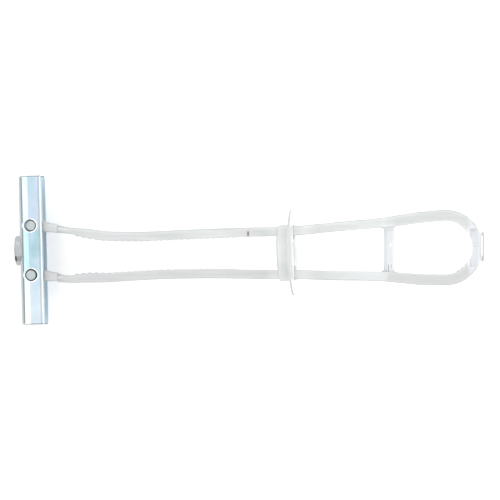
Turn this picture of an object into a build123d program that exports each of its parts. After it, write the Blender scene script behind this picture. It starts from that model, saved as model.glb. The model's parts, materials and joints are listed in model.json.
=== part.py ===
from build123d import *
import math
import os

# Strap toggle anchor, in millimetres.
#
# A steel channel swings on two flexible plastic straps. It is folded along the straps to go
# through a hole in a wall, and turned square behind it. A cap with a collar then ratchets
# along the straps until its flange meets the wall, and a screw goes through the cap into
# the tapped neck of the channel.
#
# The anchor is drawn flat: X runs along the straps from the tapped hole to the finger loop,
# Y runs across the pair and Z is square to both. The origin is the mouth of the tapped hole.
# At the end every piece is tipped into the pose in which the anchor lies on a table.

# Steel channel
channel_length = 43.0
channel_width = 9.6
channel_depth = 6.8
sheet = 1.4
bend_radius = 2.0
channel_turn = 1.5
edge_rounding = 0.6
corner_rounding = 0.6

# Tapped neck drawn out of the channel's web. The hole has the tapping size of a quarter-inch
# screw with 20 threads to the inch.
tapping_diameter = 5.1
neck_shoulder = 0.55
neck_height = 1.6
neck_rounding = 0.5

# Pins of the straps, and their holes in the channel's flanges
pin_diameter = 3.05
pin_spacing = 14.3
pin_setback = 1.85
pin_clearance = 0.1
pin_recess = 0.05
pin_chamfer = 0.15
hole_rim = 0.5

# Lugs of the straps, inside the channel
lug_side_clearance = 0.15
lug_web_clearance = 0.2
lug_height = 3.4
lug_reach = 8.95
lug_root_height = 2.4
lug_corner = 0.8
lug_overlap = 0.6
lug_rounding = 0.55
lug_shoulder = 0.85
neck_rib_thickness = 0.9
neck_rib_drop = 0.15

# Straps
strap_thickness = 2.7
waist_thickness = 1.9
loop_thickness = 3.2
outer_rounding = 0.6
inner_rounding = 0.3

# Ratchet teeth on the inner faces of the straps
tooth_pitch = 1.9
tooth_depth = 0.4
tooth_count = 25
tooth_start = 5.6
rack_margin = 0.7
rack_bite = 0.5
score_place = 64.8
score_width = 0.35
score_height = 1.2
score_depth = 0.5

# Cap: flange, collar, strap windows, screw passage and pawls
cap_seat = 77.1
cap_offset = -0.68
cap_turn = 1.8
flange_diameter = 24.64
flange_root_thickness = 0.9
flange_rim_thickness = 0.55
flange_rim_rounding = 0.15
collar_diameter = 16.3
collar_length = 3.6
collar_lead = 0.4
collar_root = 0.4
strap_half_gap = 6.25
window_clearance = 0.15
pawl_space = 1.05
pawl_margin = 0.2
pawl_thickness = 0.6
pawl_clearance = 0.15
pawl_tip = 0.45
pawl_end_setback = 0.35
screw_passage_diameter = 7.0
coring_depth = 2.3
coring_offset = 5.5
coring_size = (5.6, 1.8)
coring_rounding = 0.5

# Finger loop, its crossbar and its folded end
loop_centre = (121.65, 0.82)
loop_diameter = 21.8
loop_flat_cut = 0.8
loop_joint_setback = 0.67
loop_joint_rise = (0.801, 0.8505)
loop_flat_corner = 3.0
run_share = 0.45
end_block_margin = 0.8
end_block_height = 11.0
end_block_length = 3.0
seam_offset = 0.88
seam_gap = 0.12
hinge_gap = 0.6
hinge_thickness = 0.5
hinge_margin = 0.9
hinge_rounding = 0.4
seat_bite = 0.6
upper_tab = (3.4, 4.5)
lower_tab = (-4.0, -2.5)
grip_ridge_angles = (-62.0, -51.0, -40.0)
grip_ridge_height = 0.35
grip_ridge_width = 0.9

crossbar_place = 105.4
crossbar_length = 2.9
crossbar_margin = 1.0
crossbar_fillet = 1.0
crossbar_hole_diameter = 0.8
crossbar_hole_place = (105.75, 1.6)
latch_slit_width = 0.25
latch_slits = ((105.35, -3.9, -6.2), (106.2, -3.9, -5.0))
ejector_mark = (104.25, -7.35)
ejector_mark_diameter = 1.4
ejector_mark_depth = 0.15

# Two edges closer than this lie at the same place or have the same radius
same_place = 0.01


def turned(degrees):
    """Unit vector along X, turned in the plane of the straps."""
    return Vector(math.cos(math.radians(degrees)), math.sin(math.radians(degrees)), 0)


def drift(distance):
    """How far the cap's axis moves across the straps over a distance along them."""
    return distance * math.tan(math.radians(cap_turn))


def strap_at_cap(side, distance):
    """Station of a strap where it runs straight through the cap: place, offset, thickness."""
    return (cap_seat + distance, cap_offset + side * strap_half_gap + drift(distance), strap_thickness)


def loop_joint(side, rise):
    """Last station of a strap before the loop, placed by shares of the loop's outer radius."""
    radius = loop_diameter / 2
    place = loop_centre[0] - loop_joint_setback * radius
    return (place, loop_centre[1] + side * rise * radius, loop_thickness)


def face_points(stations, side):
    """Points on the upper (1) or lower (-1) face of a strap."""
    return [(place, offset + side * thickness / 2) for place, offset, thickness in stations]


def loop_point(radius, degrees):
    """Point on an arc of the finger loop."""
    across = radius * math.sin(math.radians(degrees))
    return (loop_centre[0] + radius * math.cos(math.radians(degrees)), loop_centre[1] + across)


def tangent_angle(radius, point, side):
    """Angle at which a straight run from a point meets an arc of the loop, on its upper or lower side."""
    along = point[0] - loop_centre[0]
    across = point[1] - loop_centre[1]
    spread = math.degrees(math.acos(radius / math.hypot(along, across)))
    return side * (math.degrees(math.atan2(side * across, along)) - spread)


def strap_offset(stations, place):
    """Offset of a strap's middle at a place between two of its stations."""
    for start, end in zip(stations, stations[1:]):
        if start[0] <= place <= end[0]:
            share = (place - start[0]) / (end[0] - start[0])
            return start[1] + share * (end[1] - start[1])
    raise ValueError("the place is beyond the strap's stations")


def lug_outline(side, stations):
    """Corners of a lug, from its box round the pin to the root of its strap."""
    web_end = along_channel * lug_web_clearance
    box_end = along_channel * (2 * pin_setback - lug_web_clearance)
    near = across_channel * (side * pin_offset - lug_height / 2)
    far = across_channel * (side * pin_offset + lug_height / 2)
    root = stations[0]
    root_place = root[0] + lug_overlap
    root_near = Vector(root_place, root[1] - root[2] / 2)
    root_far = Vector(root_place, root[1] + root[2] / 2)
    return [web_end + near, web_end + far, box_end + far, root_far, root_near, box_end + near]


def rack_outline(face_line, side):
    """Corners of a saw-tooth rack that stands on the inner face of a strap."""
    rise = Vector(0, -side * tooth_depth)
    bite = Vector(0, side * rack_bite)
    front = []
    back = []
    for number in range(tooth_count + 1):
        distance = tooth_start + number * tooth_pitch
        root = face_line.position_at(distance, position_mode=PositionMode.LENGTH)
        front.append(root)
        back.append(root + bite)
        if number < tooth_count:
            front.append(root + rise)
    return front + back[::-1]


def gentle_line(points):
    """Draw straight runs joined by tangent arcs, each as large as its shorter run allows."""
    radii = []
    for before, corner, after in zip(points, points[1:], points[2:]):
        arriving = Vector(*corner) - Vector(*before)
        leaving = Vector(*after) - Vector(*corner)
        turn = math.radians(arriving.get_angle(leaving))
        radii.append(run_share * min(arriving.length, leaving.length) / math.tan(turn / 2))
    return FilletPolyline(*points, radius=radii)


# Stations of the two straps: place along X, offset along Y and thickness. The last ones follow
# the loop's radius, so the straps meet a larger or smaller loop as they meet this one.
pin_offset = pin_spacing / 2
upper_strap = [
    (lug_reach, pin_offset - 0.9, lug_root_height),
    (11.15, pin_offset - 1.2, waist_thickness),
    (13.75, pin_offset - 1.6, waist_thickness),
    (17.85, pin_offset - 2.15, strap_thickness),
    (23.35, 4.2, strap_thickness),
    (32.85, 4.0, strap_thickness),
    (50.75, 4.85, strap_thickness),
    (63.35, 5.25, strap_thickness),
    strap_at_cap(1, -collar_length),
    strap_at_cap(1, flange_root_thickness),
    (90.35, 6.85, strap_thickness),
    (102.85, 7.9, 2.8),
    (108.65, 8.7, 3.2),
    loop_joint(1, loop_joint_rise[0]),
]
lower_strap = [
    (lug_reach, -pin_offset - 0.6, lug_root_height),
    (11.15, -pin_offset - 1.15, 2.1),
    (13.75, -pin_offset - 1.15, 2.3),
    (17.85, -pin_offset - 0.85, strap_thickness),
    (23.35, -8.0, strap_thickness),
    (38.35, -7.0, strap_thickness),
    (52.35, -6.75, strap_thickness),
    (63.35, -6.85, strap_thickness),
    strap_at_cap(-1, -collar_length),
    strap_at_cap(-1, flange_root_thickness),
    (88.35, -7.3, strap_thickness),
    (102.85, -7.45, 2.8),
    (108.65, -7.85, 3.1),
    loop_joint(-1, loop_joint_rise[1]),
]
# Planes and directions of the turned channel and of the cap
along_channel = turned(channel_turn)
across_channel = turned(channel_turn + 90)
channel_plane = Plane(origin=(0, 0, 0), x_dir=along_channel, z_dir=(0, 0, 1))
channel_axis = Axis(origin=(0, 0, 0), direction=along_channel)
channel_section = Plane(origin=(0, 0, 0), x_dir=along_channel, z_dir=across_channel)
web_plane = Plane(origin=(0, 0, 0), x_dir=across_channel, z_dir=-along_channel)
along_cap = turned(cap_turn)
across_cap = turned(cap_turn + 90)
seat_centre = Vector(cap_seat, cap_offset, 0)
cap_plane = Plane(origin=seat_centre, x_dir=along_cap, z_dir=(0, 0, 1))
cap_face = Plane(origin=seat_centre, x_dir=across_cap, z_dir=along_cap)


# The channel: a bent strip with a tapped neck and two pairs of pin holes
flange_reach = channel_depth - sheet
neck_diameter = channel_width - 2 * neck_shoulder
with BuildPart() as channel:
    with BuildSketch(channel_section):
        with BuildLine():
            FilletPolyline(
                (flange_reach, channel_width / 2),
                (-sheet, channel_width / 2),
                (-sheet, -channel_width / 2),
                (flange_reach, -channel_width / 2),
                radius=bend_radius,
            )
            offset(amount=sheet, side=Side.LEFT)
        make_face()
    extrude(amount=channel_length / 2, both=True)
    open_faces = channel.faces().sort_by(channel_axis)[-2:]
    fillet(open_faces.edges().filter_by(Axis.Z), corner_rounding)
    outer_edges = channel.edges().group_by(Axis.Z)
    outer_edges = [edges.sort_by(channel_axis)[-1] for edges in (outer_edges[0], outer_edges[-1])]
    fillet(outer_edges, edge_rounding)
    with BuildSketch(web_plane):
        Circle(neck_diameter / 2)
    extrude(amount=sheet + neck_height)
    neck_end = channel.faces().sort_by(channel_axis)[0]
    fillet(neck_end.edges(), neck_rounding)
    with BuildSketch(web_plane):
        Circle(tapping_diameter / 2)
    extrude(amount=sheet + neck_height, mode=Mode.SUBTRACT)
    with BuildSketch(channel_plane):
        with Locations((pin_setback, pin_offset), (pin_setback, -pin_offset)):
            Circle(pin_diameter / 2 + pin_clearance)
    extrude(amount=channel_width / 2, both=True, mode=Mode.SUBTRACT)
    rims = channel.edges().filter_by(GeomType.CIRCLE).group_by(Axis.Z)
    fillet(rims[0] + rims[-1], hole_rim)

# The straps: one moulding
lug_width = channel_width - 2 * sheet - 2 * lug_side_clearance
strap_width = lug_width - 2 * lug_shoulder
rack_width = strap_width - 2 * rack_margin
crossbar_width = strap_width - 2 * crossbar_margin
end_block_width = strap_width - 2 * end_block_margin
hinge_width = strap_width - 2 * hinge_margin
pin_length = channel_width - 2 * pin_recess
outer_radius = loop_diameter / 2
loop_flat = loop_centre[0] + outer_radius - loop_flat_cut
inner_radius = outer_radius - loop_thickness
with BuildPart() as straps:
    # Everything inside the outer faces of the straps and the loop
    with BuildSketch() as outer_plan:
        with BuildLine():
            upper_points = face_points(upper_strap, 1)
            lower_points = face_points(lower_strap, -1)
            upper_angle = tangent_angle(outer_radius, upper_points[-1], 1)
            lower_angle = tangent_angle(outer_radius, lower_points[-1], -1)
            flat_angle = math.degrees(math.acos((loop_flat - loop_centre[0]) / outer_radius))
            gentle_line(upper_points + [loop_point(outer_radius, upper_angle)])
            CenterArc(loop_centre, outer_radius, upper_angle, flat_angle - upper_angle)
            Line(loop_point(outer_radius, flat_angle), loop_point(outer_radius, -flat_angle))
            CenterArc(loop_centre, outer_radius, -flat_angle, lower_angle + flat_angle)
            gentle_line(lower_points + [loop_point(outer_radius, lower_angle)])
            Line(upper_points[0], lower_points[0])
        make_face()
        fillet(outer_plan.vertices().sort_by(Axis.X)[-2:], loop_flat_corner)
    extrude(amount=strap_width / 2, both=True)
    long_edges = straps.edges().group_by(Axis.Z)
    long_edges = long_edges[0].sort_by(Axis.X)[1:] + long_edges[-1].sort_by(Axis.X)[1:]
    fillet(long_edges, outer_rounding)

    # The space between the straps and inside the loop
    with BuildSketch():
        with BuildLine():
            upper_points = face_points(upper_strap, -1)
            lower_points = face_points(lower_strap, 1)
            upper_angle = tangent_angle(inner_radius, upper_points[-1], 1)
            lower_angle = tangent_angle(inner_radius, lower_points[-1], -1)
            upper_inner = gentle_line(upper_points + [loop_point(inner_radius, upper_angle)])
            CenterArc(loop_centre, inner_radius, upper_angle, lower_angle - upper_angle)
            lower_inner = gentle_line(lower_points + [loop_point(inner_radius, lower_angle)])
            Line(upper_points[0], lower_points[0])
        make_face()
    extrude(amount=strap_width / 2, both=True, mode=Mode.SUBTRACT)
    inner_edges = straps.edges(Select.LAST).filter_by(lambda edge: edge.center().X > lug_reach + same_place)
    inner_edges = inner_edges.filter_by(lambda edge: strap_width / 2 - abs(edge.center().Z) < same_place)
    fillet(inner_edges, inner_rounding)

    # Ratchet racks
    with BuildSketch() as racks:
        for side, face_line in ((1, upper_inner), (-1, lower_inner)):
            with BuildLine():
                Polyline(*rack_outline(face_line, side), close=True)
            make_face()
    extrude(amount=rack_width / 2, both=True)

    # Lugs inside the channel
    with BuildSketch() as lugs:
        for side, stations in ((1, upper_strap), (-1, lower_strap)):
            with BuildLine():
                Polyline(*lug_outline(side, stations), close=True)
            make_face()
        fillet(lugs.vertices().sort_by(Axis.X)[:4], lug_corner)
    extrude(amount=lug_width / 2, both=True)
    lug_faces = straps.faces().group_by(Axis.Z)
    fillet((lug_faces[0] + lug_faces[-1]).edges(), lug_rounding)

    # Sloping ribs that lead from the full width of the lugs down to the straps
    for stations in (upper_strap, lower_strap):
        root = Vector(stations[0][0], stations[0][1])
        end = Vector(stations[2][0], stations[2][1])
        along_neck = end - root
        across_neck = Vector(-along_neck.Y, along_neck.X)
        with BuildSketch(Plane(origin=root, x_dir=along_neck, z_dir=across_neck)):
            with BuildLine():
                rib_root = lug_width / 2 - neck_rib_drop
                Polyline(
                    (0, rib_root),
                    (along_neck.length, strap_width / 2),
                    (along_neck.length, -strap_width / 2),
                    (0, -rib_root),
                    close=True,
                )
            make_face()
        extrude(amount=neck_rib_thickness / 2, both=True)

    # Pins
    with BuildSketch(channel_plane):
        with Locations((pin_setback, pin_offset), (pin_setback, -pin_offset)):
            Circle(pin_diameter / 2)
    extrude(amount=pin_length / 2, both=True)
    pin_ends = straps.edges().filter_by(GeomType.CIRCLE).group_by(Axis.Z)
    chamfer(pin_ends[0] + pin_ends[-1], pin_chamfer)

    # Score across the near face of the upper strap, on its inner side
    score_top = strap_offset(upper_strap, score_place)
    with BuildSketch(Plane.XY.offset(strap_width / 2)):
        with Locations((score_place, score_top - score_height / 2)):
            Rectangle(score_width, score_height)
    extrude(amount=-score_depth, mode=Mode.SUBTRACT)

    # Crossbar, with the hole and the latch slits that the moulding leaves in it
    bar_low = strap_offset(lower_strap, crossbar_place)
    bar_high = strap_offset(upper_strap, crossbar_place)
    with BuildSketch():
        with Locations((crossbar_place, (bar_low + bar_high) / 2)):
            Rectangle(crossbar_length, bar_high - bar_low)
    extrude(amount=crossbar_width / 2, both=True)
    bar_corners = straps.edges(Select.LAST).filter_by(Axis.Z)
    fillet(bar_corners, crossbar_fillet)
    with BuildSketch():
        with Locations(crossbar_hole_place):
            Circle(crossbar_hole_diameter / 2)
        for place, high, low in latch_slits:
            with Locations((place, (high + low) / 2)):
                SlotOverall(high - low, latch_slit_width, rotation=90)
    extrude(amount=crossbar_width / 2, both=True, mode=Mode.SUBTRACT)
    with BuildSketch(Plane.XY.offset(strap_width / 2)):
        with Locations(ejector_mark):
            Circle(ejector_mark_diameter / 2)
    extrude(amount=-ejector_mark_depth, mode=Mode.SUBTRACT)

    # Folded end: a thinner block split by the seam, and the hinge strip outside it
    block_place = loop_flat - end_block_length / 2
    for face_side in (1, -1):
        with BuildSketch(Plane.XY.offset(face_side * end_block_width / 2)):
            with Locations((block_place, loop_centre[1])):
                Rectangle(end_block_length, end_block_height)
        extrude(amount=face_side * end_block_margin, mode=Mode.SUBTRACT)
    seam_place = loop_centre[1] + seam_offset
    with BuildSketch():
        with Locations((block_place, seam_place)):
            Rectangle(2 * end_block_length, seam_gap)
    extrude(amount=strap_width / 2, both=True, mode=Mode.SUBTRACT)
    hinge_length = upper_tab[1] - lower_tab[0]
    hinge_middle = loop_centre[1] + (upper_tab[1] + lower_tab[0]) / 2
    tab_length = seat_bite + hinge_gap + hinge_thickness
    with BuildSketch() as hinge:
        with Locations((loop_flat + hinge_gap + hinge_thickness / 2, hinge_middle)):
            Rectangle(hinge_thickness, hinge_length)
        for low, high in (upper_tab, lower_tab):
            with Locations((loop_flat - seat_bite + tab_length / 2, loop_centre[1] + (low + high) / 2)):
                Rectangle(tab_length, high - low)
        fillet(hinge.vertices().group_by(Axis.X)[-1], hinge_rounding)
    extrude(amount=hinge_width / 2, both=True)

    # Grip ridges inside the loop
    with BuildSketch():
        for angle in grip_ridge_angles:
            with Locations(Location((*loop_point(inner_radius, angle), 0), angle)):
                Rectangle(2 * grip_ridge_height, grip_ridge_width)
    extrude(amount=hinge_width / 2, both=True)

# The cap: flange and collar turned about one axis, then windows, screw passage and pawls
collar_radius = collar_diameter / 2
flange_radius = flange_diameter / 2
strap_inner = strap_half_gap - strap_thickness / 2
strap_outer = strap_half_gap + strap_thickness / 2
window_inner = strap_inner - pawl_space
window_outer = strap_outer + window_clearance
pawl_width = rack_width - 2 * pawl_margin
with BuildPart() as cap:
    with BuildSketch(cap_plane):
        with BuildLine():
            Polyline(
                (-collar_length, 0),
                (-collar_length, collar_radius - collar_lead),
                (collar_lead - collar_length, collar_radius),
                (0, collar_radius),
                (0, flange_radius),
                (flange_rim_thickness, flange_radius),
                (flange_root_thickness, collar_radius),
                (flange_root_thickness, 0),
                close=True,
            )
        make_face()
    revolve(axis=Axis(origin=seat_centre, direction=along_cap))
    circles = cap.edges().filter_by(GeomType.CIRCLE)
    rim = circles.filter_by(lambda edge: abs(edge.radius - flange_radius) < same_place)
    fillet(rim, flange_rim_rounding)
    root = cap.edges().filter_by(GeomType.CIRCLE)
    root = root.filter_by(lambda edge: abs(edge.radius - collar_radius) < same_place)
    root = root.filter_by(lambda edge: (edge.arc_center - seat_centre).length < same_place)
    fillet(root, collar_root)
    with BuildSketch(cap_face.offset(-collar_length)) as windows:
        with Locations(((window_inner + window_outer) / 2, 0), (-(window_inner + window_outer) / 2, 0)):
            Rectangle(window_outer - window_inner, strap_width + 2 * window_clearance)
        outer_corners = windows.vertices().group_by(Axis.X)
        fillet(outer_corners[0] + outer_corners[-1], outer_rounding + window_clearance)
        Circle(screw_passage_diameter / 2)
    extrude(amount=collar_length + flange_root_thickness, mode=Mode.SUBTRACT)
    with BuildSketch(cap_face.offset(-collar_length)) as coring:
        with Locations((0, coring_offset), (0, -coring_offset)):
            Rectangle(*coring_size)
        fillet(coring.vertices(), coring_rounding)
    extrude(amount=coring_depth, mode=Mode.SUBTRACT)
    pawl_top = strap_inner - pawl_clearance
    for side in (1, -1):
        with BuildSketch(cap_plane):
            with BuildLine():
                Polyline(
                    (-collar_length, side * (window_inner - pawl_thickness / 2)),
                    (-collar_length, side * (window_inner + pawl_thickness / 2)),
                    (-pawl_end_setback - pawl_tip, side * pawl_top),
                    (-pawl_end_setback, side * pawl_top),
                    (-pawl_end_setback, side * (pawl_top - pawl_thickness)),
                    (pawl_thickness * 2 - collar_length, side * (window_inner - pawl_thickness / 2)),
                    close=True,
                )
            make_face()
        extrude(amount=pawl_width / 2, both=True)

# Resting pose: the rounded lower bend of the channel and the rim of the flange touch the table
bend_reach = bend_radius - sheet
rim_place = cap_seat + flange_rim_rounding - bend_reach
rim_drop = (flange_radius - flange_rim_rounding) - (channel_width / 2 - bend_radius)
rounding_step = flange_rim_rounding - bend_radius
rest_tilt = math.degrees(
    math.atan2(rim_drop, rim_place) + math.asin(rounding_step / math.hypot(rim_drop, rim_place))
)
rest_pose = Rotation(0, -rest_tilt, 0)

channel.part = rest_pose * channel.part
straps.part = rest_pose * straps.part
cap.part = rest_pose * cap.part
channel.part.label = "channel"
straps.part.label = "straps"
cap.part.label = "cap"
os.makedirs("parts", exist_ok=True)
export_step(channel.part, "parts/channel.step")
export_step(straps.part, "parts/straps.step")
export_step(cap.part, "parts/cap.step")
print("rest tilt", round(rest_tilt, 3))
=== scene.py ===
# %% [markdown]
# # A strap toggle anchor in Blender
#
# A steel channel hangs on two flexible plastic straps, and a cap with a collar ratchets along
# them. The shapes come from the imported CAD model, which is the frame of this scene. Blender's
# part is what the frame can't hold: a mesh of the straps cut into rings where they flex, a
# thread inside the neck, and finishes with the grain, tint and gloss of plated steel and
# natural nylon.

import json
import math

import bmesh
import bpy
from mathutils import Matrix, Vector

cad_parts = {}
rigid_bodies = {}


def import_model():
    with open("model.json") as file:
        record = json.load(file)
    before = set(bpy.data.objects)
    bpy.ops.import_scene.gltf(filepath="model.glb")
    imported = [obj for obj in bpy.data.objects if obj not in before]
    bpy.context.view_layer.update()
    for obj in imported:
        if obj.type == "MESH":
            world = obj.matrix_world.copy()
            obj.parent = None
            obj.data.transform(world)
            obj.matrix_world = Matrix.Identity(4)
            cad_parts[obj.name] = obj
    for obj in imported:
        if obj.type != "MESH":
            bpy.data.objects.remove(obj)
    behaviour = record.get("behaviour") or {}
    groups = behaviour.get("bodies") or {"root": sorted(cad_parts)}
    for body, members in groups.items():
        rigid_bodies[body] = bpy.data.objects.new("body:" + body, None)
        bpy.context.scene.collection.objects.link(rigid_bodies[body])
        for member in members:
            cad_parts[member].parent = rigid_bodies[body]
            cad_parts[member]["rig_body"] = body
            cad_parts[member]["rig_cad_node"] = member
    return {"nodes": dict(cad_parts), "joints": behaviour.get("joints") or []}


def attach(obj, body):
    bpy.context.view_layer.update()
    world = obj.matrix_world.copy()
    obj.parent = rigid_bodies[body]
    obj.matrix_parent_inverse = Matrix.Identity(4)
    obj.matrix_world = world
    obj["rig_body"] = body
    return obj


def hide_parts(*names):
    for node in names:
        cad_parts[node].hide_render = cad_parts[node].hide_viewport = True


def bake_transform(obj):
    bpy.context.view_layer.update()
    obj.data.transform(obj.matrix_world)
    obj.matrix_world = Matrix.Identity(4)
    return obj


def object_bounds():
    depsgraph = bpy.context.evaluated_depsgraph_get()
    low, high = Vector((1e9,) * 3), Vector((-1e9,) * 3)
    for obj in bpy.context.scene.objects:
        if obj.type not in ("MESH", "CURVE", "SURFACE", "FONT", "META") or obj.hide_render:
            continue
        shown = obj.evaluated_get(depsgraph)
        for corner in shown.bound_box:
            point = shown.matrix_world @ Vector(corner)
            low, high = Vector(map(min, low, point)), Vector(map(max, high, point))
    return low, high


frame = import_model()
cad_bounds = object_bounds()
nodes = frame["nodes"]
joints = {joint["name"]: joint for joint in frame["joints"]}
MM = 0.001
print("nodes:", sorted(nodes), "joints:", sorted(joints))

# %% [markdown]
# ## The drawing's own directions
#
# The anchor lies tipped: one end rests on the channel, the other on the rim of the cap. Places
# could be given in the scene's own axes, but every strap and edge would then need two tilted
# coordinates. So a place is given as (along, across, up), in millimetres from the mouth of the
# tapped hole, and one helper turns it into the scene. The channel's hinge axis stands square
# to the straps, so it gives the tilt with no new number.

# %% Directions along, across and up
UP = Vector(joints["channel_tilt"]["axis"]).normalized()
ACROSS = Vector((0, 1, 0))
ALONG = ACROSS.cross(UP).normalized()


def place(along, across, up):
    """A point of the drawing, in millimetres, as a point of the scene, in metres."""
    return (ALONG * along + ACROSS * across + UP * up) * MM


print("tilt", round(math.degrees(math.atan2(ALONG.z, ALONG.x)), 3), "degrees")

# %% [markdown]
# ## Camera
#
# The photograph looks straight down on the anchor from far off: the two rims of the cap's
# flange nearly hide each other. An orthographic camera would give that too, but a long lens
# high above keeps a trace of real perspective. One value sets the height, and the lens follows
# from the width of table that the picture takes in.

# %% Camera straight above
SENSOR = 36.0
CAMERA_HEIGHT = 1.5
VIEW_WIDTH = 0.145
VIEW_CENTRE = (0.06481, 0.000116)
FARTHEST = 10.0
camera_data = bpy.data.cameras.new("camera")
camera_data.sensor_width = SENSOR
camera_data.lens = SENSOR * CAMERA_HEIGHT / VIEW_WIDTH
camera_data.clip_end = FARTHEST
camera = bpy.data.objects.new("camera", camera_data)
camera.location = (*VIEW_CENTRE, CAMERA_HEIGHT)
bpy.context.scene.collection.objects.link(camera)
bpy.context.scene.camera = camera
bpy.context.scene.view_settings.view_transform = "Standard"
print("lens", round(camera_data.lens, 1), "mm")

# %% [markdown]
# ## Helpers that build a finish
#
# Every finish below is a graph of nodes around one shader. The graph could be drawn by hand in
# the editor, but a script can repeat it, and helpers keep it readable. The first ones make a
# material, add a node with its inputs, and feed the shader.


# %% A material, a node and a link
def new_material(name):
    """An empty material with one principled shader, and its node tree."""
    material = bpy.data.materials.new(name)
    material.use_nodes = True
    tree = material.node_tree
    return material, tree, tree.nodes["Principled BSDF"]


def feed(tree, socket, value):
    """Set an input of a node to a value or to another node's output."""
    if isinstance(value, bpy.types.NodeSocket):
        tree.links.new(value, socket)
    else:
        socket.default_value = value


def add_node(tree, kind, **inputs):
    """Add a shader node and set its inputs by name."""
    node = tree.nodes.new(kind)
    for name, value in inputs.items():
        feed(tree, node.inputs[name.replace("_", " ")], value)
    return node


def finish_with(piece, material):
    """Give every material slot of a piece one material."""
    if not piece.material_slots:
        piece.data.materials.append(material)
    for number in range(len(piece.material_slots)):
        piece.material_slots[number].material = material


print("helpers: material, node, finish")

# %% [markdown]
# ## Helpers that know where a point is
#
# A finish here changes with place: the cut ends carry painted shade, a rim a painted highlight,
# and a thin bar a painted light for what passes through it. An image could paint that, but it
# would be fixed to one size and would stretch. Here a finish measures instead: how far a point
# lies along a direction, from an edge or from a hole's axis, and which way its surface faces.


# %% Places and distances
def object_place(tree):
    """The place on the object, in metres along the scene's axes, wherever its body has moved."""
    return tree.nodes.new("ShaderNodeTexCoord").outputs["Object"]


def distance_along(tree, where, direction):
    """How far a place lies along a direction, in metres."""
    node = add_node(tree, "ShaderNodeVectorMath")
    node.operation = "DOT_PRODUCT"
    tree.links.new(where, node.inputs[0])
    node.inputs[1].default_value = direction
    return node.outputs["Value"]


def facing(tree, direction):
    """How much the surface faces a direction, from minus one to one."""
    normal = tree.nodes.new("ShaderNodeTexCoord").outputs["Normal"]
    return distance_along(tree, normal, direction)


def arithmetic(tree, operation, first, second=0.0):
    """One step of arithmetic on two values."""
    node = tree.nodes.new("ShaderNodeMath")
    node.operation = operation
    feed(tree, node.inputs[0], first)
    feed(tree, node.inputs[1], second)
    return node.outputs["Value"]


def times(tree, first, *others):
    """Several values multiplied."""
    for other in others:
        first = arithmetic(tree, "MULTIPLY", first, other)
    return first


def plus(tree, first, *others):
    """Several values added."""
    for other in others:
        first = arithmetic(tree, "ADD", first, other)
    return first


def off(tree, value, centre):
    """How far a distance is from a place in millimetres, on either side of it."""
    return arithmetic(tree, "ABSOLUTE", arithmetic(tree, "SUBTRACT", value, centre * MM))


def from_axis(tree, first, first_centre, second, second_centre):
    """How far a point is from an axis: two distances, and the axis's own, in millimetres."""
    squares = []
    for value, centre in ((first, first_centre), (second, second_centre)):
        step = arithmetic(tree, "SUBTRACT", value, centre * MM)
        squares.append(times(tree, step, step))
    return arithmetic(tree, "POWER", plus(tree, *squares), 0.5)


print("helpers: places and distances")

# %% [markdown]
# ## Helpers that turn a distance into a share
#
# A tone on a real part seldom ends sharply. A test for inside or outside would give hard
# borders, so a place becomes a share between nought and one: it rises over a short way, stays,
# and falls again. Multiplied shares mark a patch, and noise gives the unevenness.


# %% Shares, patches and noise
def ranged(tree, value, low, high, start=0.3, end=0.7):
    """Map a value from start to end onto low to high."""
    node = add_node(tree, "ShaderNodeMapRange", Value=value)
    for name, number in (("From Min", start), ("From Max", end), ("To Min", low), ("To Max", high)):
        node.inputs[name].default_value = number
    return node.outputs["Result"]


def over(tree, value, start, end, low=0.0, high=1.0):
    """Go from low to high between two places in millimetres."""
    return ranged(tree, value, low, high, start * MM, end * MM)


def between(tree, value, start, end, soft):
    """A share that is one between two places in millimetres, and fades over a soft edge."""
    rising = over(tree, value, start - soft, start)
    falling = over(tree, value, end, end + soft, 1.0, 0.0)
    return times(tree, rising, falling)


def patch(tree, *spans):
    """A share that is one where each value lies in its span: (value, start, end, soft edge)."""
    return times(tree, *[between(tree, *span) for span in spans])


def noise(tree, where, size, detail=3.0, scale=(1, 1, 1), distortion=0.0):
    """Noise whose features are about a given size in millimetres, longer where scale is small."""
    mapping = add_node(tree, "ShaderNodeMapping", Vector=where, Scale=scale)
    node = add_node(
        tree,
        "ShaderNodeTexNoise",
        Vector=mapping.outputs["Vector"],
        Scale=1 / (size * MM),
        Detail=detail,
        Distortion=distortion,
    )
    return node.outputs["Fac"]


print("helpers: shares, patches, noise")

# %% [markdown]
# ## Helpers that colour and raise the surface
#
# A finish starts from one band of colours and is then touched up. Each touch mixes a tone over
# what is there, where a share says so. A material for every patch would need its own faces,
# and touches need none. Bumps lie on each other, because one face can have a crown and a grain.


# %% Colours and bumps
def mixed(tree, share, first, second):
    """Mix two colours by a share."""
    node = tree.nodes.new("ShaderNodeMix")
    node.data_type = "RGBA"
    tree.links.new(share, node.inputs["Factor"])
    for name, value in (("A", first), ("B", second)):
        socket = [s for s in node.inputs if s.name == name and s.type == "RGBA"][0]
        feed(tree, socket, value if isinstance(value, bpy.types.NodeSocket) else (*value, 1))
    return [s for s in node.outputs if s.type == "RGBA"][0]


def touched(tree, colour, share, tone, strength=1.0):
    """Mix a tone over a colour where a share says, at most by a strength."""
    if strength < 1.0:
        share = times(tree, share, strength)
    return mixed(tree, share, colour, tone)


def banded(tree, value, stops):
    """Colours along a value: stops are pairs of position and colour."""
    node = add_node(tree, "ShaderNodeValToRGB", Fac=value)
    elements = node.color_ramp.elements
    elements[0].position = stops[0][0]
    elements[-1].position = stops[-1][0]
    for position, colour in stops[1:-1]:
        elements.new(position)
    for element, (position, colour) in zip(elements, stops):
        element.color = (*colour, 1)
    return node.outputs["Color"]


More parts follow.
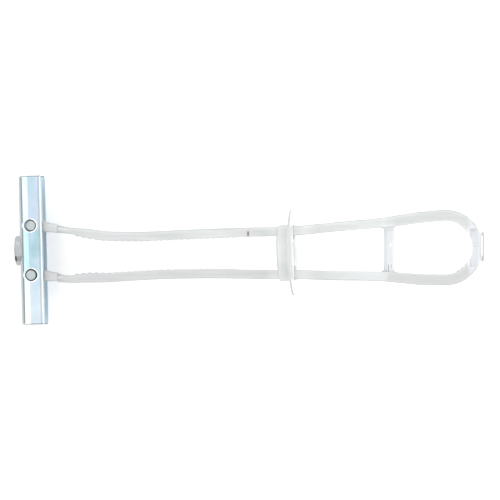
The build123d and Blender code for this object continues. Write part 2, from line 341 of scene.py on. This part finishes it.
def bump(tree, shader, height, strength, distance):
    """Raise the surface, over a distance in millimetres, on top of any bump it has."""
    node = add_node(
        tree, "ShaderNodeBump", Height=height, Strength=strength, Distance=distance * MM
    )
    for earlier in shader.inputs["Normal"].links:
        tree.links.new(earlier.from_socket, node.inputs["Normal"])
    tree.links.new(node.outputs["Normal"], shader.inputs["Normal"])


print("helpers: colours and bumps")

# %% [markdown]
# ## Blue zinc on the channel
#
# The channel is zinc plated and dipped in a thin blue passivate. The film's thickness varies,
# so the plate drifts between pale cyan and a faint violet in soft patches along the strip, and
# it is paler towards one end. It could be painted as one flat metal, but the drift is what
# makes it read as plated strip and not as plastic. So the thickness is noise, pulled out along
# the metal, and a band of colours stands for the film.
#
# The channel lies turned by a degree and a half, so it gets its own directions.

# %% The channel's directions
CHANNEL_TURN = math.radians(1.5)
CHANNEL_ALONG = ALONG * math.cos(CHANNEL_TURN) + ACROSS * math.sin(CHANNEL_TURN)
CHANNEL_ACROSS = ACROSS * math.cos(CHANNEL_TURN) - ALONG * math.sin(CHANNEL_TURN)
HALF_LENGTH = 21.5
WEB_OUTSIDE = -1.4
zinc, tree, shader = new_material("blue_zinc_plate")
where = object_place(tree)
along = distance_along(tree, where, CHANNEL_ALONG)
across = distance_along(tree, where, CHANNEL_ACROSS)
to_pale_end = times(tree, across, -1.0)
to_ends = off(tree, across, 0.0)
up = distance_along(tree, where, UP)
print("channel", 2 * HALF_LENGTH, "mm long")

# %% Film colours
FILM_COLOURS = (
    (0.30, (0.41, 0.62, 0.64)),
    (0.42, (0.49, 0.70, 0.79)),
    (0.52, (0.58, 0.76, 0.86)),
    (0.62, (0.64, 0.75, 0.89)),
    (0.74, (0.62, 0.81, 0.87)),
)
PALE_FILM = (0.78, 0.89, 0.96)
patches = noise(tree, where, 5.5, detail=2.0, scale=(1.3, 0.6, 1), distortion=0.6)
thicker_to_ends = over(tree, to_ends, 0.0, HALF_LENGTH, 0.0, 0.14)
thicker_to_edge = over(tree, along, 0.0, 5.0, -0.03, 0.08)
thickness = plus(tree, times(tree, patches, 0.8), thicker_to_ends, thicker_to_edge)
film = banded(tree, thickness, FILM_COLOURS)
paler = over(tree, to_pale_end, 0.0, 0.8 * HALF_LENGTH, 0.0, 0.75)
film = touched(tree, film, paler, PALE_FILM)
print("film:", len(FILM_COLOURS), "colours")

# %% [markdown]
# ## Faces with painted shade and light
#
# The web's outer face and the steep side of the bend carry a painted grey shade, which stands in
# for the darker reflection that they catch. Between the two pins a painted shade holds back the
# bright streak along the bend, which is narrower there. The inner faces, where the far flange
# shows past the near one, are duller, and a paler tint of painted light lifts them out of their
# shade. Each could be a material on its own faces, but the bend is one smooth surface with no
# border to cut at, so shares mark them.

# %% Web, pins and inside
WEB_REFLECTION_SHADE = (0.42, 0.46, 0.47)
STREAK_SHADE = (0.40, 0.56, 0.61)
INSIDE_LIGHT_COLOURS = ((0.38, (0.66, 0.80, 0.84)), (0.62, (0.69, 0.77, 0.88)))
web_side = ranged(tree, facing(tree, -CHANNEL_ALONG), 0.0, 1.0, 0.30, 0.50)
# Painted shade: faces turned towards the web side get grey, for the darker reflection they catch.
film = touched(tree, film, web_side, WEB_REFLECTION_SHADE)
# Painted shade between the pins, which narrows the reflected streak along the bend.
between_pins = patch(tree, (along, 0.5, 1.3, 0.25), (to_ends, 0.0, 5.0, 0.8))
film = touched(tree, film, between_pins, STREAK_SHADE, 0.7)
inside = over(tree, times(tree, facing(tree, UP), up), -3.0, -1.0, 1.0, 0.0)
# Painted light: a paler tint lifts the inner faces out of their shade.
film = mixed(tree, inside, film, banded(tree, patches, INSIDE_LIGHT_COLOURS))
print("faces: web, between the pins, inside")

# %% [markdown]
# ## Cut edges and pin holes
#
# The open edge of the near flange is a bright line with a darker one on either side. Each
# hole has a bright rim and a dark gap round its pin, and the two ends of the strip are dark
# grey. Chamfers could draw these lines with the light, but they are less than half a
# millimetre wide, so tone draws them more cleanly: a painted highlight on the edge and on each
# rim, and painted shade beside the edge, in each gap and along the two ends.

# %% Edges, rims and ends
PIN_SETBACK = 1.85
PIN_OFFSET = 7.15
near_side = over(tree, up, 0.0, 1.0)
# Painted shade just inside the open edge.
before_edge = times(tree, between(tree, along, 4.44, 4.64, 0.15), near_side)
film = touched(tree, film, before_edge, (0.42, 0.50, 0.55), 0.6)
# Painted highlight along the open edge.
at_edge = times(tree, between(tree, along, 4.88, 5.12, 0.1), near_side)
film = touched(tree, film, at_edge, (0.98, 1.0, 1.0))
# Painted shade past the highlight, on the far part of the edge's rounding.
past_edge = times(tree, over(tree, along, 5.15, 5.25), near_side)
film = touched(tree, film, past_edge, (0.50, 0.60, 0.64))
from_pin = from_axis(tree, along, PIN_SETBACK, to_ends, PIN_OFFSET)
# Painted highlight on each hole's rim, and painted shade in the gap round its pin.
film = touched(tree, film, between(tree, from_pin, 1.78, 2.02, 0.08), (0.97, 0.99, 0.99))
film = touched(tree, film, between(tree, from_pin, 1.5, 1.64, 0.05), (0.12, 0.13, 0.13))
# Painted shade along the two ends of the strip.
shaded_ends = over(tree, to_ends, HALF_LENGTH - 0.32, HALF_LENGTH - 0.22, 0.0, 0.85)
film = touched(tree, film, shaded_ends, (0.16, 0.17, 0.17))
print("pins", PIN_OFFSET, "mm from the middle")

# %% [markdown]
# ## The drawn neck
#
# The neck was drawn out of the web and looks dull grey, without the blue of the strip. Its
# mouth carries painted shade along its edge, and one small spot of it a painted deep shade that
# is nearly black. It could have a material of its own, but neck and web are one piece of metal
# that flow into each other, so the tone follows the place: past the web's outer face, or just
# behind it at the neck's own radius.

# %% Neck tone
NECK_GREY = (0.47, 0.49, 0.50)
NECK_EDGE_SHADE = (0.16, 0.17, 0.17)
DEEP_SHADE = (0.02, 0.02, 0.025)
beyond_web = over(tree, along, WEB_OUTSIDE - 0.2, WEB_OUTSIDE, 1.0, 0.0)
from_hole = from_axis(tree, across, 0.0, up, 0.0)
neck_outside = between(tree, from_hole, 4.15, 4.35, 0.05)
beside_bend = times(tree, neck_outside, over(tree, along, -0.8, -0.6, 1.0, 0.0))
on_neck = arithmetic(tree, "MAXIMUM", beyond_web, beside_bend)
# Painted shade along the mouth's edge, and a nearly black painted deep shade on one spot.
mouth_edge = over(tree, along, -2.75, -2.55, 0.6, 0.0)
neck_tone = mixed(tree, mouth_edge, NECK_GREY, NECK_EDGE_SHADE)
to_mouth = over(tree, along, -2.55, -2.25, 1.0, 0.25)
shaded = times(tree, between(tree, across, -2.9, -1.8, 0.3), to_mouth)
neck_tone = touched(tree, neck_tone, shaded, DEEP_SHADE)
film = mixed(tree, on_neck, film, neck_tone)
tree.links.new(film, shader.inputs["Base Color"])
shader.inputs["Metallic"].default_value = 1.0
print("neck begins", WEB_OUTSIDE, "mm along")

# %% [markdown]
# ## Polish, crown and grain
#
# Rolling polishes the strip in blotches and leaves a fine grain along it. Pressing leaves a
# slight crown beside the bend, which spreads the reflection of the sky into a wide bright
# streak. The crown is a tenth of a millimetre high. It could be modelled, but the flange is
# flat in the CAD solid, and a bump this low changes nothing but the reflection.

# %% Gloss and bumps of the plate
blotches = noise(tree, where, 3.0, detail=4.0)
polish = ranged(tree, blotches, 0.16, 0.26)
duller = plus(tree, times(tree, on_neck, 0.2), times(tree, inside, 0.3))
tree.links.new(plus(tree, polish, duller), shader.inputs["Roughness"])
crown = over(tree, along, 0.3, 1.5)
crown.node.interpolation_type = "SMOOTHSTEP"
bump(tree, shader, crown, 1.0, 0.12)
grain = noise(tree, where, 0.35, detail=5.0, scale=(1, 0.06, 1))
bump(tree, shader, grain, 0.2, 0.015)
finish_with(nodes["channel"], zinc)
print("channel finish:", zinc.name, "with", len(tree.nodes), "nodes")

# %% [markdown]
# ## Natural nylon on the straps and the cap
#
# Both mouldings are unpigmented nylon: milky, a little green or violet where light has passed
# through more or less of it, and glossier on the faces that lay against the polished mould.
# Light enters and comes out again a few millimetres away. A plain white plastic would look
# chalky beside it, and clear glass would show what lies behind, so subsurface scattering is
# used. One function makes both nylons, which differ in tint, gloss and flow marks.


# %% Milky nylon
NYLON_SCATTER = 1.6 * MM
NYLON_IOR = 1.53


def natural_nylon(name, where_of, tints, gloss, relief):
    """Milky nylon whose tint, gloss and flow marks drift over the moulding."""
    material, tree, shader = new_material(name)
    where = where_of(tree)
    drift = noise(tree, where, 11.0, detail=2.0, scale=(0.6, 1, 1))
    colour = banded(tree, drift, tints)
    shader.inputs["Subsurface Weight"].default_value = 0.7
    shader.inputs["Subsurface Radius"].default_value = (1.0, 1.0, 0.9)
    shader.inputs["Subsurface Scale"].default_value = NYLON_SCATTER
    shader.inputs["IOR"].default_value = NYLON_IOR
    shine = noise(tree, where, 4.0, detail=4.0)
    tree.links.new(ranged(tree, shine, *gloss), shader.inputs["Roughness"])
    flow = noise(tree, where, 0.9, detail=5.0, scale=(0.35, 1, 1), distortion=0.4)
    bump(tree, shader, flow, relief, 0.03)
    return material, tree, shader, where, colour


print("light travels about", NYLON_SCATTER / MM, "mm in the nylon")

# %% [markdown]
# ## The cap's collar
#
# The cap's axis lies a little askew to the straps. Its collar carries painted shade towards the
# upper and lower outline and on the faces towards the channel, and painted light on the faces
# towards the loop and inside the collar. Light alone could give some of that, but scattering
# softens it, so the tone follows the distance from the axis and the way that a face looks.

# %% Cap nylon: collar
CAP_TURN = math.radians(1.8)
CAP_ALONG = ALONG * math.cos(CAP_TURN) + ACROSS * math.sin(CAP_TURN)
CAP_ACROSS = ACROSS * math.cos(CAP_TURN) - ALONG * math.sin(CAP_TURN)
CAP_SEAT = (77.1, -0.68)
CAP_TINTS = (
    (0.30, (0.712, 0.733, 0.722)),
    (0.50, (0.735, 0.745, 0.74)),
    (0.70, (0.75, 0.74, 0.755)),
)
cap_nylon, tree, shader, where, colour = natural_nylon(
    "natural_nylon_cap", object_place, CAP_TINTS, (0.46, 0.58), 0.03
)
cap_middle = place(*CAP_SEAT, 0).dot(CAP_ACROSS) / MM
cap_across = distance_along(tree, where, CAP_ACROSS)
from_cap_axis = from_axis(tree, cap_across, cap_middle, distance_along(tree, where, UP), 0.0)
off_middle = off(tree, cap_across, cap_middle)
# Painted shade towards the collar's upper and lower outline.
colour = touched(tree, colour, over(tree, off_middle, 2.0, 7.5), (0.60, 0.625, 0.61))
# Painted light inside the collar.
inside_collar_light = over(tree, from_cap_axis, 7.5, 7.8, 1.0, 0.0)
colour = touched(tree, colour, inside_collar_light, (0.76, 0.78, 0.77))
# Painted shade on faces towards the channel.
channel_side_shade = ranged(tree, facing(tree, -CAP_ALONG), 0.0, 0.7, 0.25, 0.6)
colour = touched(tree, colour, channel_side_shade, (0.38, 0.385, 0.39))
# Painted light on faces towards the loop.
loop_side_light = ranged(tree, facing(tree, CAP_ALONG), 0.0, 1.0, 0.3, 0.6)
colour = touched(tree, colour, loop_side_light, (0.80, 0.82, 0.81))
print("cap axis", round(cap_middle, 2), "mm across")

# %% [markdown]
# ## The cap's flange
#
# The flange is a thin disc seen nearly on edge. It is grey beside the collar, nearly white
# further out, and hardly shines, while its rim keeps a darker line. It could be made
# transparent, but then whatever lies behind it would show sharply, which milky nylon doesn't
# do. So painted shade and light stand in for what shows through it: its tone pales away from
# the middle, its shine goes, and the rim carries a painted shade.

# %% Cap nylon: flange
FLANGE_NEAR = (0.585, 0.59, 0.59)
FLANGE_FAR = (0.885, 0.895, 0.90)
RIM_SHADE = (0.45, 0.45, 0.455)
on_flange = over(tree, from_cap_axis, 8.3, 8.8)
# Painted shade beside the collar and painted light further out, for what shows through the disc.
flange_tone = mixed(tree, over(tree, off_middle, 7.0, 9.0), FLANGE_NEAR, FLANGE_FAR)
colour = mixed(tree, on_flange, colour, flange_tone)
upright = arithmetic(tree, "ABSOLUTE", facing(tree, UP))
# Painted shade along the flange's rim.
rim_strength = ranged(tree, upright, 1.0, 0.35, 0.76, 0.84)
rim_edge = times(tree, over(tree, from_cap_axis, 12.0, 12.2), rim_strength)
colour = touched(tree, colour, rim_edge, RIM_SHADE)
tree.links.new(colour, shader.inputs["Base Color"])
less_shine = ranged(tree, on_flange, 0.3, 0.02, 0.0, 1.0)
tree.links.new(less_shine, shader.inputs["Specular IOR Level"])
finish_with(nodes["cap"], cap_nylon)
print("cap finish:", cap_nylon.name, "with", len(tree.nodes), "nodes")

# %% [markdown]
# ## Nylon that remembers its place
#
# The real straps flex, so their finish shouldn't ask where a point is in the scene: on a bent
# mesh the tint would slide over the plastic. Each point carries its place in the drawing as an
# attribute instead.
# Long streaks run along the straps, where the melt flowed from one end of the mould to the
# other, and they calm down on the loop. Stretched noise gives them with no picture.


# %% Strap nylon: tint and streaks
def drawing_place(tree):
    """The place in the drawing that each point of the straps carries, in metres."""
    node = tree.nodes.new("ShaderNodeAttribute")
    node.attribute_name = "drawing_place"
    return node.outputs["Vector"]


STRAP_TINTS = (
    (0.30, (0.595, 0.63, 0.615)),
    (0.50, (0.625, 0.64, 0.635)),
    (0.70, (0.62, 0.625, 0.645)),
)
strap_nylon, tree, shader, where, colour = natural_nylon(
    "natural_nylon_straps", drawing_place, STRAP_TINTS, (0.28, 0.42), 0.12
)
along = distance_along(tree, where, (1, 0, 0))
across = distance_along(tree, where, (0, 1, 0))
above = arithmetic(tree, "ABSOLUTE", distance_along(tree, where, (0, 0, 1)))
from_middle = off(tree, across, 0.0)
streaks = noise(tree, where, 0.8, detail=3.0, scale=(0.05, 1, 1), distortion=0.2)
calmer = over(tree, along, 100.0, 108.0, 1.0, 0.5)
pale_streaks = times(tree, ranged(tree, streaks, 0.0, 0.5, 0.45, 0.75), calmer)
colour = touched(tree, colour, pale_streaks, (0.78, 0.78, 0.79))
dense_streaks = times(tree, ranged(tree, streaks, 0.5, 0.0, 0.25, 0.48), calmer)
colour = touched(tree, colour, dense_streaks, (0.50, 0.515, 0.515))
print("strap tints:", len(STRAP_TINTS))

# %% [markdown]
# ## Tones along the straps, with painted light and shade
#
# The straps are darker towards the channel, and the lower one a little darker than the upper
# one, and they pale towards the crossbar. Painted light lifts them beside the cap and where the
# crossbar meets the upper strap, which the flange and the bar would shade. The crossbar and the
# end block are painted paler and bluer, for light that passes through the thin nylon. A painted
# light lifts the hole in the bar, the bar's side carries painted shade, the hinge strip is
# darker, and the pins carry painted shade, with steel all round them. Scattering alone could
# give part of this, but the lighting that would bring it out isn't known, so the finish is told
# by place.

# %% Strap nylon: sections
CROSSBAR = (104.6, 106.9)
END_BLOCK = (129.0, 140.0)
HINGE_STRIP = 132.0
near_channel = over(tree, along, 0.0, 70.0, 0.45, 0.0)
colour = touched(tree, colour, near_channel, (0.55, 0.565, 0.57))
lower_strap = over(tree, across, -5.0, -2.0, 0.4, 0.0)
colour = touched(tree, colour, lower_strap, (0.53, 0.54, 0.54))
toward_bar = times(
    tree,
    over(tree, along, 78.0, 101.0),
    over(tree, along, 104.0, 105.6, 1.0, 0.0),
    over(tree, across, -5.0, 5.0, 0.72, 0.35),
)
colour = touched(tree, colour, toward_bar, (0.72, 0.74, 0.75))
# Painted light beside the cap, lifting the shade of the flange.
beside_cap_light = between(tree, along, 73.5, 81.0, 4.0)
colour = touched(tree, colour, beside_cap_light, (0.80, 0.81, 0.81), 0.7)
# Painted light where the crossbar meets the upper strap, lifting its shade.
over_bar_light = patch(tree, (along, 103.6, 106.4, 1.2), (across, 6.4, 12.0, 0.5))
colour = touched(tree, colour, over_bar_light, (0.76, 0.78, 0.78), 0.22)
# Painted light: the thin crossbar and end block are paler and bluer, as light passes through.
crossbar = patch(tree, (along, *CROSSBAR, 0.7), (across, -5.6, 5.4, 0.8))
colour = touched(tree, colour, crossbar, (0.70, 0.72, 0.74))
end_block = between(tree, along, *END_BLOCK, 1.0)
colour = touched(tree, colour, end_block, (0.68, 0.695, 0.72))
# Painted shade on the bar's side.
bar_side_shade = patch(tree, (along, 103.5, 104.1, 0.9), (across, -6.0, 6.2, 0.6))
colour = touched(tree, colour, bar_side_shade, (0.53, 0.55, 0.56), 0.8)
# Painted light in the hole through the bar.
bar_hole_light = between(tree, from_axis(tree, along, 105.75, across, 1.6), 0.0, 0.55, 0.15)
colour = touched(tree, colour, bar_hole_light, (0.74, 0.75, 0.76))
# Painted shade on the pins, which sit in the steel.
pins = patch(tree, (along, -2.0, 3.6, 0.2), (from_middle, 5.4, 8.9, 0.2))
colour = touched(tree, colour, pins, (0.46, 0.53, 0.55), 0.8)
hinge_strip = over(tree, along, HINGE_STRIP, HINGE_STRIP + 0.3, 0.0, 0.9)
colour = touched(tree, colour, hinge_strip, (0.44, 0.47, 0.47))
print("crossbar at", CROSSBAR, "mm along")

# %% [markdown]
# ## Rounded edges and moulding marks
#
# The long edges are rounded, and painted shade on each rounding gives the thin darker line that
# outlines the strap. Corners, slits and joints look paler on the real one than the light leaves
# them here, so painted light lifts them a little, and painted shade darkens the seam of the
# folded end and the gap round each pin. Finer shapes could carry these lines, but they are a
# few tenths of a millimetre wide. So the edges are found by the way that they face, and the
# marks by their place in the drawing.

# %% Strap nylon: edges and joints
LOOP_MIDDLE = 0.82
EDGE_SHADE = (0.41, 0.42, 0.42)
flatness = arithmetic(tree, "ABSOLUTE", facing(tree, UP))
# Painted shade on the rounded edges, found by the way that they face.
edge_rounds = times(
    tree,
    ranged(tree, flatness, 0.0, 0.7, 0.10, 0.35),
    ranged(tree, flatness, 1.0, 0.0, 0.80, 0.97),
)
colour = touched(tree, colour, edge_rounds, EDGE_SHADE)
# Painted light lifting the bar's joint, the latch slits, the recess corners and the gap's edge.
bar_joint = patch(tree, (along, 104.0, 106.8, 0.5), (across, 6.1, 7.1, 0.3))
colour = touched(tree, colour, bar_joint, (0.90, 0.91, 0.92), 0.3)
latch = patch(tree, (along, 105.1, 106.45, 0.15), (across, -6.2, -3.8, 0.2))
colour = touched(tree, colour, latch, (0.97, 0.98, 0.99), 0.3)
off_loop = off(tree, across, LOOP_MIDDLE)
recess_corner = patch(tree, (along, 128.6, 129.3, 0.7), (off_loop, 4.0, 5.5, 0.8))
colour = touched(tree, colour, recess_corner, (0.93, 0.94, 0.96), 0.3)
gap_edge = patch(tree, (along, 131.2, 131.8, 0.2), (off_loop, 0.0, 4.5, 0.3))
colour = touched(tree, colour, gap_edge, (0.84, 0.85, 0.87), 0.3)
# Painted shade in the seam of the folded end.
seam_shade = patch(tree, (across, 1.58, 1.82, 0.05), (along, 128.9, 131.9, 0.1))
colour = touched(tree, colour, seam_shade, (0.36, 0.38, 0.39))
print("loop middle", LOOP_MIDDLE, "mm across")

# %% Strap nylon: rack, score and pins
STRAP_PIN = (1.95, 7.15)
EJECTOR_MARK = (104.25, -7.35)
# Painted light on the rack, lifting the teeth out of their shade.
rack_light = patch(tree, (above, 0.0, 1.8, 0.1), (along, 25.0, 63.0, 4.0))
colour = touched(tree, colour, rack_light, (0.76, 0.77, 0.77))
on_score = patch(tree, (along, 64.5, 65.1, 0.05), (across, 3.0, 5.6, 0.1))
colour = touched(tree, colour, on_score, (0.50, 0.48, 0.42))
from_ejector = from_axis(tree, along, EJECTOR_MARK[0], across, EJECTOR_MARK[1])
# Painted highlight on the ejector mark.
ejector_highlight = between(tree, from_ejector, 0.0, 0.8, 0.1)
colour = touched(tree, colour, ejector_highlight, (0.70, 0.71, 0.72))
from_strap_pin = from_axis(tree, along, STRAP_PIN[0], from_middle, STRAP_PIN[1])
# Painted shade in the gap round each pin.
pin_outline_shade = between(tree, from_strap_pin, 1.36, 1.6, 0.05)
colour = touched(tree, colour, pin_outline_shade, (0.10, 0.11, 0.11))
shader.inputs["Specular IOR Level"].default_value = 0.35
tree.links.new(colour, shader.inputs["Base Color"])
print("strap finish:", strap_nylon.name, "with", len(tree.nodes), "nodes")

# %% [markdown]
# ## The straps as a mesh
#
# The straps are one moulding, and they flex: when the channel turns, their pinned ends turn
# with it and their long middle stays with the cap. The CAD solid can't bend, so a mesh stands
# for it. It could be modelled again from curves, but the solid's surface is already exact, with
# every tooth in place. So it is copied, its seams are welded, and it is cut across at even
# steps where the straps flex, into rings close enough to follow a smooth arc.

# %% Copy and weld the straps
BEND_START = 24.0
BEND_END = 5.0
RING_STEP = 0.6
WELD = 0.0004
straps = nodes["straps"].copy()
straps.data = nodes["straps"].data.copy()
straps.name = "straps_moulding"
straps.parent = None
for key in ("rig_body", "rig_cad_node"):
    if key in straps:
        del straps[key]
bpy.context.scene.collection.objects.link(straps)
edit = bmesh.new()
edit.from_mesh(straps.data)
bmesh.ops.remove_doubles(edit, verts=edit.verts, dist=WELD * MM)
print("straps copied with", len(edit.faces), "faces")

# %% Cut rings for the bend
rings = int((BEND_START - BEND_END) / RING_STEP) + 1
for number in range(rings):
    ring_place = place(BEND_END + number * RING_STEP, 0, 0)
    everything = edit.verts[:] + edit.edges[:] + edit.faces[:]
    bmesh.ops.bisect_plane(edit, geom=everything, plane_co=ring_place, plane_no=ALONG)
edit.to_mesh(straps.data)
edit.free()
print("straps:", len(straps.data.polygons), "faces after", rings, "cuts")

# %% [markdown]
# ## Shading and carried places
#
# The imported mesh brings its own stored normals, which no longer fit once points are welded
# and cut. Flat shading would show every facet of the roundings, so the stored normals are
# removed, and the mesh is shaded smooth with a crease at each true edge. Every point then
# stores its place in the drawing, before anything can move it.


# %% Smooth shading and the attribute
def smooth_by_angle(mesh, degrees):
    """Shade a mesh smooth, with a crease wherever two faces meet at more than an angle."""
    stored = mesh.attributes.get("custom_normal")
    if stored:
        mesh.attributes.remove(stored)
    for face in mesh.polygons:
        face.use_smooth = True
    mesh.set_sharp_from_angle(angle=math.radians(degrees))


smooth_by_angle(straps.data, 35)
carried = straps.data.attributes.new("drawing_place", "FLOAT_VECTOR", "POINT")
for number, vertex in enumerate(straps.data.vertices):
    carried.data[number].vector = [vertex.co.dot(axis) for axis in (ALONG, ACROSS, UP)]
finish_with(straps, strap_nylon)
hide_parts("straps")
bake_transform(straps)
print("places carried by", len(carried.data), "points")

# %% [markdown]
# ## Thread in the neck
#
# The neck is drawn out of the web and tapped for a quarter-inch screw with 20 threads to the
# inch. The CAD solid has the hole at its tapping size. A screw modifier could turn a profile
# into a thread, but it would end as sharply as it starts. So the ridge is swept here: a small
# triangle carried round the axis while it climbs one pitch a turn, fading in and out at both
# ends as a tap leaves it.

# %% Thread ridge sizes
BORE_RADIUS = 2.55
THREAD_PITCH = 1.27
THREAD_HEIGHT = 0.2
THREAD_START = -0.3
THREAD_LENGTH = 2.3
THREAD_SEAT = 0.04
HALF_FOOT = 0.42 * THREAD_PITCH
STEPS_A_TURN = 48
FADE_STEEPNESS = 8


def ridge_corners(turn_angle, along, height):
    """The ridge's foot, crest and foot at one step, carried round the hole's axis."""
    outward = ACROSS * math.cos(turn_angle) + UP * math.sin(turn_angle)
    foot = BORE_RADIUS + THREAD_SEAT
    section = ((-HALF_FOOT, foot), (0, BORE_RADIUS - height), (HALF_FOOT, foot))
    return [(CHANNEL_ALONG * (along + shift) + outward * radius) * MM for shift, radius in section]


turns = THREAD_LENGTH / THREAD_PITCH
print("thread:", round(turns, 2), "turns")

# %% Sweep the ridge
steps = round(turns * STEPS_A_TURN)
edit = bmesh.new()
rows = []
for step in range(steps + 1):
    share = step / steps
    fade = min(1.0, FADE_STEEPNESS * share, FADE_STEEPNESS * (1 - share))
    along = THREAD_START - THREAD_LENGTH * share
    corners = ridge_corners(step / STEPS_A_TURN * math.tau, along, THREAD_HEIGHT * fade)
    rows.append([edit.verts.new(corner) for corner in corners])
for before, after in zip(rows, rows[1:]):
    for number in range(3):
        other = (number + 1) % 3
        edit.faces.new((before[number], before[other], after[other], after[number]))
edit.faces.new(rows[0][::-1])
edit.faces.new(rows[-1])
bmesh.ops.recalc_face_normals(edit, faces=edit.faces)
print("ridge:", len(edit.faces), "faces")

# %% Thread piece
thread_mesh = bpy.data.meshes.new("neck_thread")
edit.to_mesh(thread_mesh)
edit.free()
neck_thread = bpy.data.objects.new("neck_thread", thread_mesh)
bpy.context.scene.collection.objects.link(neck_thread)
smooth_by_angle(thread_mesh, 30)
finish_with(neck_thread, zinc)
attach(neck_thread, "channel")
print("thread rides the channel")

# %% [markdown]
# ## Table
#
# The photograph has a plain white ground without an edge. A white sky alone would leave the
# part floating, with no soft shade under it. So a wide sheet of white paper lies just where
# the anchor touches down, with a faint tooth, and glows a little so that it stays white.

# %% Paper table
TABLE_REACH = 3.0
PAPER_GLOW = 0.22
PAPER_TOOTH = ((0.3, (0.93, 0.93, 0.93)), (0.7, (0.95, 0.95, 0.95)))
lowest = cad_bounds[0][2]
edit = bmesh.new()
corner_signs = ((-1, -1), (1, -1), (1, 1), (-1, 1))
corners = [(x * TABLE_REACH, y * TABLE_REACH, lowest) for x, y in corner_signs]
edit.faces.new([edit.verts.new(corner) for corner in corners])
table_mesh = bpy.data.meshes.new("table")
edit.to_mesh(table_mesh)
edit.free()
table = bpy.data.objects.new("table", table_mesh)
bpy.context.scene.collection.objects.link(table)
paper, tree, shader = new_material("white_paper")
tooth = noise(tree, object_place(tree), 0.6, detail=4.0)
tree.links.new(banded(tree, tooth, PAPER_TOOTH), shader.inputs["Base Color"])
shader.inputs["Roughness"].default_value = 0.9
shader.inputs["Emission Color"].default_value = (1, 1, 1, 1)
shader.inputs["Emission Strength"].default_value = PAPER_GLOW
finish_with(table, paper)
print("table at", round(lowest / MM, 2), "mm")

# %% [markdown]
# ## Sky
#
# Plated steel shows what surrounds it more than its own colour. Under an even white sky the
# channel would be a flat grey-blue, and lamps would leave hard spots. So the sky is a dome of
# soft bands from side to side: a bright one on the left for the streak along the bend, a
# dimmer one overhead, and a bright one on the right.

# %% Banded sky
SIDE_BANDS = (
    (-1.00, 0.60),
    (-0.93, 0.50),
    (-0.84, 1.60),
    (-0.38, 1.70),
    (-0.28, 0.93),
    (-0.06, 0.90),
    (0.02, 0.70),
    (0.20, 0.75),
    (0.30, 1.50),
    (1.00, 1.10),
)
BRIGHTEST = 1.8
world = bpy.data.worlds.new("soft_dome")
bpy.context.scene.world = world
world.use_nodes = True
sky_tree = world.node_tree
background = sky_tree.nodes["Background"]
sky_direction = sky_tree.nodes.new("ShaderNodeTexCoord").outputs["Generated"]
sideways = distance_along(sky_tree, sky_direction, (1, 0, 0))
stops = [((side + 1) / 2, (level / BRIGHTEST,) * 3) for side, level in SIDE_BANDS]
sky = banded(sky_tree, ranged(sky_tree, sideways, 0.0, 1.0, -1.0, 1.0), stops)
sky_tree.links.new(sky, background.inputs["Color"])
background.inputs["Strength"].default_value = BRIGHTEST
print("sky:", len(SIDE_BANDS), "bands")

# %% [markdown]
# ## Lamp
#
# The light in the photograph is very soft, and the dome gives nearly all of it. The dome is the
# same in front and behind, though, and bands both ways would be hard to control. So one long,
# weak and soft lamp stands behind the anchor and sets its upper edges a little apart.

# %% One soft lamp behind
LAMP_PLACE = Vector((0.06, 0.9, 0.5))
LAMP_AIM = Vector((0.06, 0.0, 0.0))
lamp_data = bpy.data.lights.new("back_strip", "AREA")
lamp_data.shape = "RECTANGLE"
lamp_data.size = 1.4
lamp_data.size_y = 0.25
lamp_data.energy = 1.0
lamp = bpy.data.objects.new("back_strip", lamp_data)
lamp.location = LAMP_PLACE
lamp.rotation_euler = (LAMP_AIM - LAMP_PLACE).to_track_quat("-Z", "Y").to_euler()
bpy.context.scene.collection.objects.link(lamp)
print("lamp:", lamp_data.energy, "W")
